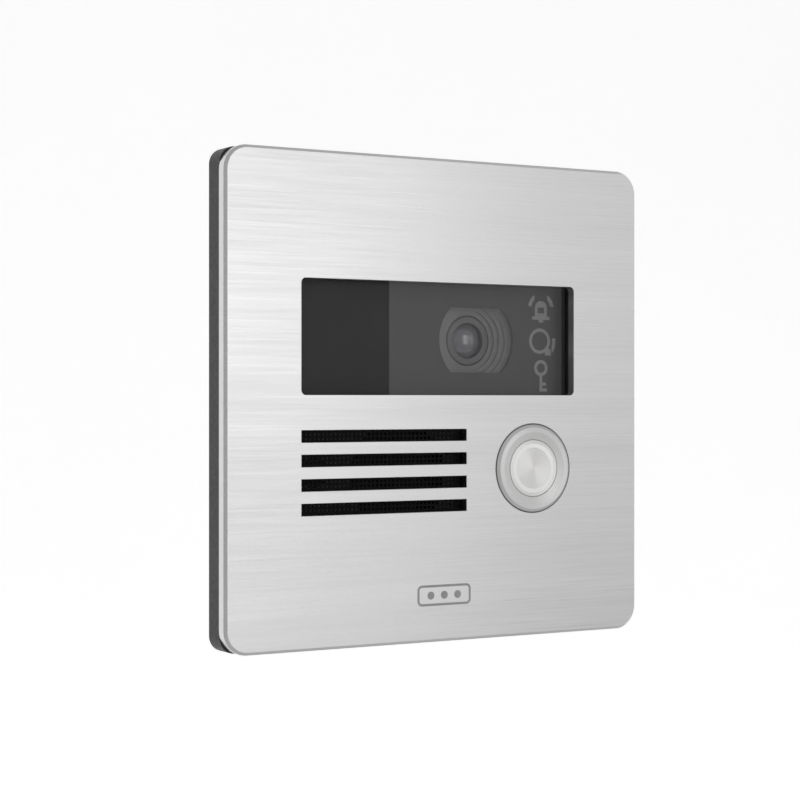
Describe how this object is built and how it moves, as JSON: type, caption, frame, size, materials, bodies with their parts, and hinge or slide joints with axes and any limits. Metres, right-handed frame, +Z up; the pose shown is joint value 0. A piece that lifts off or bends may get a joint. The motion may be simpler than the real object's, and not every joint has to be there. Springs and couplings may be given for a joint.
{
  "type": "door intercom panel",
  "caption": "Square brushed steel door intercom with a camera window, speaker slots and a ring-lit call button, on a black frame with a sealed electronics housing behind.",
  "frame": {"origin": "middle of the four wall screw holes, on the wall plane where the black frame's back face meets the wall", "axes": "+X to the right as a visitor sees the panel, +Y into the wall, +Z up; the steel face looks along -Y"},
  "size_m": [0.12, 0.0439, 0.12],
  "materials": {
    "brushed_steel": "horizontal brushed grain, satin",
    "polished_steel": "fine turned satin",
    "black_housing": "fine moulded texture",
    "dark_housing": "fine moulded texture",
    "red_silicone": "matt silicone",
    "black_foam": "matt closed-cell rubber",
    "grey_rubber": "grey rubber seal",
    "tinted_window": "clear hardened window, slightly smoked",
    "mask_grey": "satin dark grey",
    "baffle_grey": "matt light-absorbing grey",
    "infrared_black": "smooth infrared-passing plastic",
    "circuit_board": "solder mask",
    "led_lens": "clear moulded lens",
    "diffuser": "milky light guide",
    "icon_grey": "satin print",
    "lens_glass": "coated lens glass",
    "black_aluminium": "black anodised",
    "sensor_die": "sensor surface under cover glass",
    "connector_ivory": "moulded connector",
    "ribbon_amber": "flexible circuit",
    "black_mesh": "fine acoustic mesh",
    "speaker_frame": "black coating",
    "cone_black": "coated paper cone",
    "magnet_steel": "plated",
    "lead_red": "wire insulation",
    "lead_yellow": "wire insulation",
    "bright_metal": "bright can",
    "plated_brass": "nickel plated",
    "light_ring": "milky light ring",
    "spring_steel": "drawn wire",
    "plunger_red": "moulded",
    "chip_black": "moulded package",
    "capacitor_sleeve": "shrink sleeve",
    "jack_shield": "plated shield",
    "terminal_green": "moulded",
    "switch_white": "moulded",
    "dark_screw": "blackened stainless steel",
    "zinc_screw": "zinc plated"
  },
  "bodies": {
    "panel": {"front_cover": "brushed_steel", "front_frame": "black_housing", "rear_cover": "dark_housing", "rear_seal": "red_silicone", "wall_gasket": "black_foam", "window_seal": "black_foam", "window_glass": "tinted_window", "camera_mask": "mask_grey", "ir_filter_panel": "infrared_black", "camera_bracket": "black_housing", "led_board": "circuit_board", "ir_leds": "led_lens", "status_leds": "led_lens", "light_guide": "diffuser", "status_icons": "icon_grey", "lens_baffle": "baffle_grey", "lens_front_element": "lens_glass", "lens_iris": "black_housing", "lens_rear_element": "lens_glass", "lens_barrel": "black_aluminium", "lens_holder": "black_housing", "image_sensor": "sensor_die", "sensor_board": "circuit_board", "board_connector": "connector_ivory", "led_ribbon": "ribbon_amber", "grille_mesh": "black_mesh", "speaker_gasket": "black_foam", "speaker_basket": "speaker_frame", "speaker_surround": "black_foam", "speaker_cone": "cone_black", "speaker_magnet": "magnet_steel", "speaker_leads": "lead_red", "microphone_boot": "black_foam", "microphone": "bright_metal", "button_housing": "polished_steel", "button_seal": "grey_rubber", "button_nut": "plated_brass", "button_spring": "spring_steel", "button_switch": "black_housing", "button_leads": "lead_yellow", "main_board": "circuit_board", "board_chips": "chip_black", "power_transformer": "chip_black", "capacitors": "capacitor_sleeve", "network_jack": "jack_shield", "terminal_headers": "terminal_green", "terminal_plugs": "terminal_green", "reset_switch": "chip_black", "tamper_switch": "chip_black", "tamper_spring": "spring_steel", "cover_screws": "dark_screw", "rear_cover_screws": "zinc_screw", "board_screws": "zinc_screw", "bracket_screws": "zinc_screw"},
    "call_button": {"button_cap": "polished_steel", "button_light_ring": "light_ring", "switch_plunger": "plunger_red"},
    "reset_key": {"reset_button": "switch_white"},
    "tamper_pin": {"tamper_plunger": "switch_white"}
  },
  "joints": [
    {"name": "call_button_press", "type": "slide", "parent": "panel", "child": "call_button", "axis": [0, 1, 0], "range_m": [0, 0.0012], "stiffness_N_per_m": 900, "deforming": ["button_spring"]},
    {"name": "reset_key_press", "type": "slide", "parent": "panel", "child": "reset_key", "axis": [0, -1, 0], "range_m": [0, 0.0005], "stiffness_N_per_m": 1500},
    {"name": "tamper_pin_press", "type": "slide", "parent": "panel", "child": "tamper_pin", "axis": [0, -1, 0], "range_m": [0, 0.003], "stiffness_N_per_m": 150, "deforming": ["tamper_spring"]}
  ]
}
